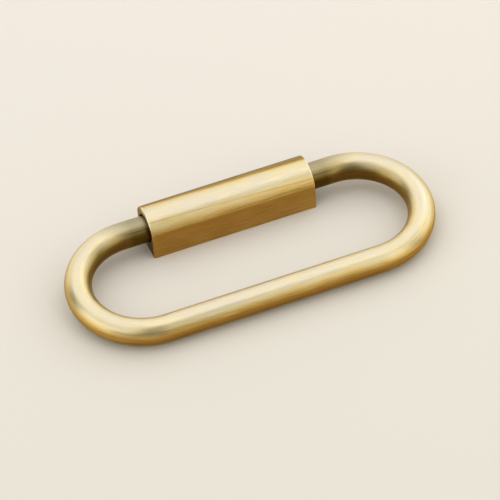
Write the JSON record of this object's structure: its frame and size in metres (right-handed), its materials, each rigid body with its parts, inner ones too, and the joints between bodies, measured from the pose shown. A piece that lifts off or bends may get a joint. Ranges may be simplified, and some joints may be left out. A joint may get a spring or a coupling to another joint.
{
  "type": "ring pull handle",
  "caption": "Oval ring of round brass rod hinged in the ends of a solid arched block, which screws to a drawer front as a lift-and-pull handle.",
  "frame": {"origin": "centre of the block's flat back, on the surface that the pull is screwed to", "axes": "+Z out of the drawer front, +X along the block and its hinge axis, -Y towards the free side of the folded ring"},
  "size_m": [0.112, 0.0482, 0.0134],
  "materials": {
    "block_brass": "satin, brushed along its length, warm antique tone",
    "ring_brass": "satin, brushed along the rod, warm antique tone"
  },
  "bodies": {
    "block": {"mounting_block": "block_brass"},
    "ring": {"pull_ring": "ring_brass"}
  },
  "joints": [
    {"name": "ring_hinge", "type": "hinge", "parent": "block", "child": "ring", "pos_m": [0, 0, 0.0066], "axis": [-1, 0, 0], "range_deg": [0, 187.8]}
  ]
}
